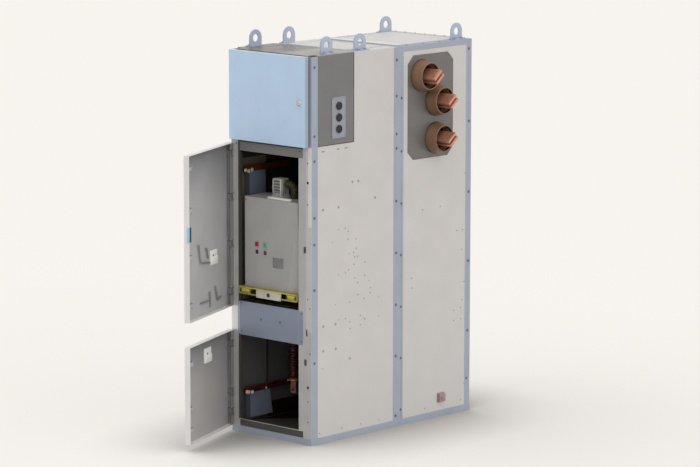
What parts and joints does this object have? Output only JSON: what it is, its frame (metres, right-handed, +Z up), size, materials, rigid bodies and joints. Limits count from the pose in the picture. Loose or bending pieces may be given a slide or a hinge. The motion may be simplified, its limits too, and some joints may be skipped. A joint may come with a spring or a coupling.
{
  "type": "air-insulated switchgear cubicle",
  "caption": "Withdrawable medium-voltage switchgear cubicle: steel cabinet with breaker truck, cable compartment, low-voltage box, side busbar bushings and lifting eyes.",
  "frame": {"origin": "centre of the rectangle of the four floor bolt holes, on the floor", "axes": "+Z up, +Y from the doors into the cubicle, +X to the right as seen from the doors"},
  "size_m": [0.803, 2.0338, 2.4039],
  "materials": {
    "black_plastic": "matte",
    "black_rubber": "matte",
    "blue_paint": "satin",
    "blue_plastic": "gloss",
    "brown_resin": "satin",
    "chrome_metal": "gloss",
    "copper": "satin",
    "cover_grey": "matte",
    "dark_paint": "satin",
    "dark_steel": "satin",
    "green_plastic": "gloss",
    "grey_paint": "satin",
    "olive_plastic": "matte",
    "pale_blue_paint": "satin",
    "red_plastic": "gloss",
    "red_resin": "gloss",
    "silvered_copper": "satin",
    "stainless": "brushed",
    "white_card": "matte",
    "yellow_zinc": "satin",
    "zinc_steel": "satin"
  },
  "bodies": {
    "cubicle": {"bottom_sill": "dark_steel", "breaker_shelf": "zinc_steel", "busbar_bushings": "brown_resin", "busbars": "copper", "bushing_plate": "stainless", "cable_floor": "dark_steel", "cable_insulators": "red_resin", "cable_lugs": "copper", "contact_spouts": "red_resin", "earth_bars": "copper", "earth_stub": "copper", "front_section_posts": "blue_paint", "front_side_panel": "grey_paint", "front_stiles": "grey_paint", "hinge_brackets": "dark_steel", "left_side_panels": "grey_paint", "lifting_eyes": "pale_blue_paint", "lock_jambs": "grey_paint", "lv_box": "dark_paint", "lv_gland_plate": "grey_paint", "lv_grommets": "black_rubber", "lv_mounting_plate": "zinc_steel", "middle_panel": "blue_paint", "plinth_ends": "blue_paint", "plinth_sides": "blue_paint", "rear_covers": "grey_paint", "rear_partition": "zinc_steel", "rear_section_posts": "blue_paint", "rear_side_panel": "grey_paint", "relief_flaps": "grey_paint", "roof_rails": "blue_paint", "roof_sheets": "grey_paint", "spout_plate": "zinc_steel", "top_rail": "grey_paint", "truck_rails": "zinc_steel", "wall_brackets": "blue_paint"},
    "upper_door_leaf": {"upper_door": "grey_paint", "upper_door_hardware": "dark_steel", "upper_door_pocket": "white_card", "upper_door_levers": "zinc_steel", "door_handle": "blue_plastic"},
    "lower_door_leaf": {"lower_door": "grey_paint", "lower_door_hardware": "dark_steel", "lower_door_pocket": "white_card"},
    "lv_door_leaf": {"lv_door": "pale_blue_paint", "lv_door_lock": "chrome_metal", "lv_door_hinges": "dark_steel"},
    "breaker_truck": {"truck_base": "yellow_zinc", "truck_plate": "zinc_steel", "truck_wheels": "dark_steel", "breaker_cover": "cover_grey", "open_button": "red_plastic", "close_button": "green_plastic", "state_windows": "black_plastic", "breaker_poles": "red_resin", "contact_arms": "silvered_copper", "control_plug": "zinc_steel", "plug_harness": "olive_plastic", "cover_grip": "white_card"}
  },
  "joints": [
    {"name": "upper_door_hinge", "type": "hinge", "parent": "cubicle", "child": "upper_door_leaf", "pos_m": [-0.31, -0.727, 1.25], "axis": [0, 0, 1], "range_deg": [-31, 69]},
    {"name": "lower_door_hinge", "type": "hinge", "parent": "cubicle", "child": "lower_door_leaf", "pos_m": [-0.31, -0.727, 0.33], "axis": [0, 0, 1], "range_deg": [-31, 69]},
    {"name": "lv_door_hinge", "type": "hinge", "parent": "cubicle", "child": "lv_door_leaf", "pos_m": [-0.299, -0.727, 2.03], "axis": [0, 0, 1], "range_deg": [-100, 0]},
    {"name": "truck_slide", "type": "slide", "parent": "cubicle", "child": "breaker_truck", "axis": [0, 1, 0], "range_m": [0, 0.2]}
  ]
}
